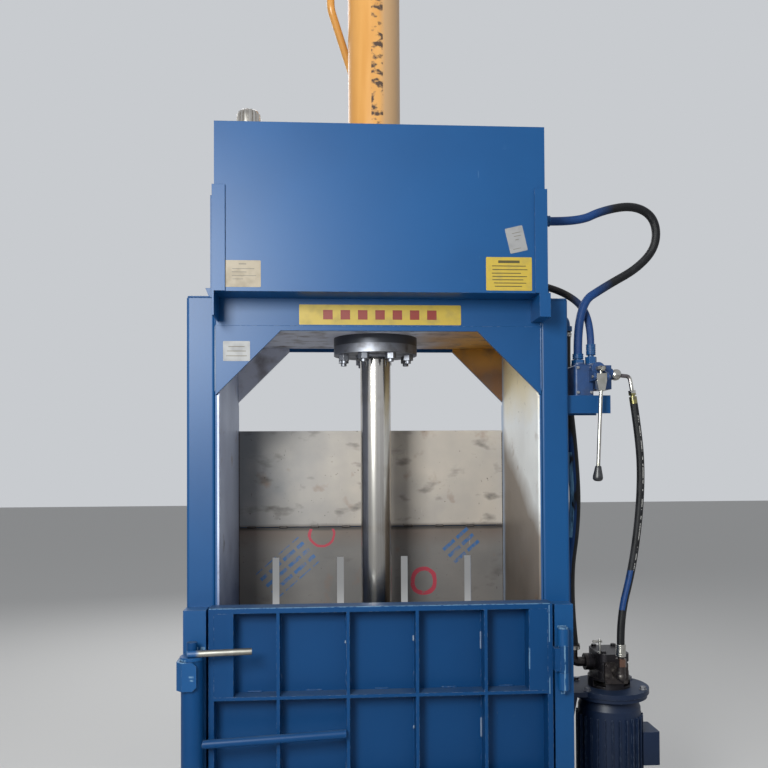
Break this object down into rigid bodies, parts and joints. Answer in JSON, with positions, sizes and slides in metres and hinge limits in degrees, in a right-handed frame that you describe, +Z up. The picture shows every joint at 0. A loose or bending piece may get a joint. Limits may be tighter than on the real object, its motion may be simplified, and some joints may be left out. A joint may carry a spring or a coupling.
{
  "type": "metal chip compactor",
  "caption": "Upright hydraulic compactor with a ram, a ribbed front door and lock, an oil tank, a hand valve and a side pump, for pressing metal chips.",
  "frame": {"origin": "on the floor under the ram's axis, in the middle of the four anchor holes", "axes": "+X to the right seen from the door, +Y to the back of the machine, +Z up along the ram"},
  "size_m": [1.6561, 0.7635, 3.045],
  "materials": {
    "blue_paint": "satin",
    "bare_plate": "rolled, dull",
    "lining_plate": "primer, matt",
    "yellow_paint": "satin",
    "machined_steel": "turned",
    "hard_chrome": "polished",
    "zinc_plate": "zinc plated",
    "black_plastic": "moulded",
    "cast_iron": "as cast",
    "pump_aluminium": "die cast",
    "motor_paint": "satin",
    "hose_rubber": "matt"
  },
  "bodies": {
    "frame": {"front_posts": "blue_paint", "rear_posts": "blue_paint", "foot_plates": "blue_paint", "side_rails": "blue_paint", "base_beams": "blue_paint", "rear_beams": "blue_paint", "front_arch_plate": "blue_paint", "rear_arch_plate": "blue_paint", "header_plates": "blue_paint", "cylinder_mount_plate": "blue_paint", "door_pads": "blue_paint", "frame_knuckles": "blue_paint", "hinge_pins": "blue_paint", "lock_bearings": "blue_paint", "oil_tank": "blue_paint", "tank_brackets": "blue_paint", "tank_cover": "blue_paint", "valve_shelf": "blue_paint", "motor_bracket": "blue_paint", "pipe_bracket": "blue_paint", "left_side_wall": "bare_plate", "right_side_wall": "bare_plate", "chamber_floor": "bare_plate", "back_plate_lower": "bare_plate", "back_plate_upper": "bare_plate", "arch_linings": "lining_plate", "cylinder_barrel": "yellow_paint", "cylinder_cap": "yellow_paint", "oil_pipe": "yellow_paint", "cylinder_gland": "machined_steel", "flange_studs": "zinc_plate", "hose_fittings": "zinc_plate", "suction_pipe": "zinc_plate", "valve_body": "cast_iron", "pump_lantern": "cast_iron", "pump_body": "pump_aluminium", "motor_body": "motor_paint", "fan_cowl": "motor_paint", "return_hose": "hose_rubber", "cylinder_hose": "hose_rubber", "pressure_hose": "hose_rubber", "suction_hose": "hose_rubber"},
    "ram": {"piston_rod": "hard_chrome", "piston": "machined_steel", "rod_foot": "blue_paint", "platen": "blue_paint", "platen_ribs": "blue_paint"},
    "door": {"door_panel": "blue_paint", "door_ribs": "blue_paint", "door_corner_boxes": "blue_paint", "door_knuckles": "blue_paint"},
    "lock": {"lock_tube": "blue_paint", "latch_bar": "bare_plate", "lock_lever": "blue_paint"},
    "hand_lever": {"valve_lever": "hard_chrome", "lever_knob": "black_plastic"},
    "spool": {"valve_spool": "machined_steel"},
    "breather": {"breather_cap": "hard_chrome"},
    "rotor": {"motor_rotor": "machined_steel"}
  },
  "joints": [
    {"name": "ram_slide", "type": "slide", "parent": "frame", "child": "ram", "axis": [0, 0, 1], "range_m": [-0.25, 0.85]},
    {"name": "door_hinge", "type": "hinge", "parent": "frame", "child": "door", "pos_m": [0.553, -0.355, 0.53], "axis": [0, 0, 1], "range_deg": [0, 120]},
    {"name": "lock_turn", "type": "hinge", "parent": "frame", "child": "lock", "pos_m": [-0.567, -0.375, 0.47], "axis": [0, 0, -1], "range_deg": [0, 120]},
    {"name": "lever_tilt", "type": "hinge", "parent": "frame", "child": "hand_lever", "pos_m": [0.702, -0.285, 1.64], "axis": [1, 0, 0], "range_deg": [-12, 12], "stiffness_Nm_per_rad": 6},
    {"name": "spool_slide", "type": "slide", "parent": "frame", "child": "spool", "axis": [0, 1, 0], "range_m": [-0.006, 0.006]},
    {"name": "breather_lift", "type": "slide", "parent": "frame", "child": "breather", "axis": [0, 0, 1], "range_m": [0, 0.06]},
    {"name": "rotor_spin", "type": "hinge", "parent": "frame", "child": "rotor", "pos_m": [0.786, -0.08, 0.4], "axis": [0, 0, 1], "continuous": true}
  ],
  "couplings": [
    {"joint": "spool_slide", "follows": "lever_tilt", "m_per_rad": -0.027}
  ]
}
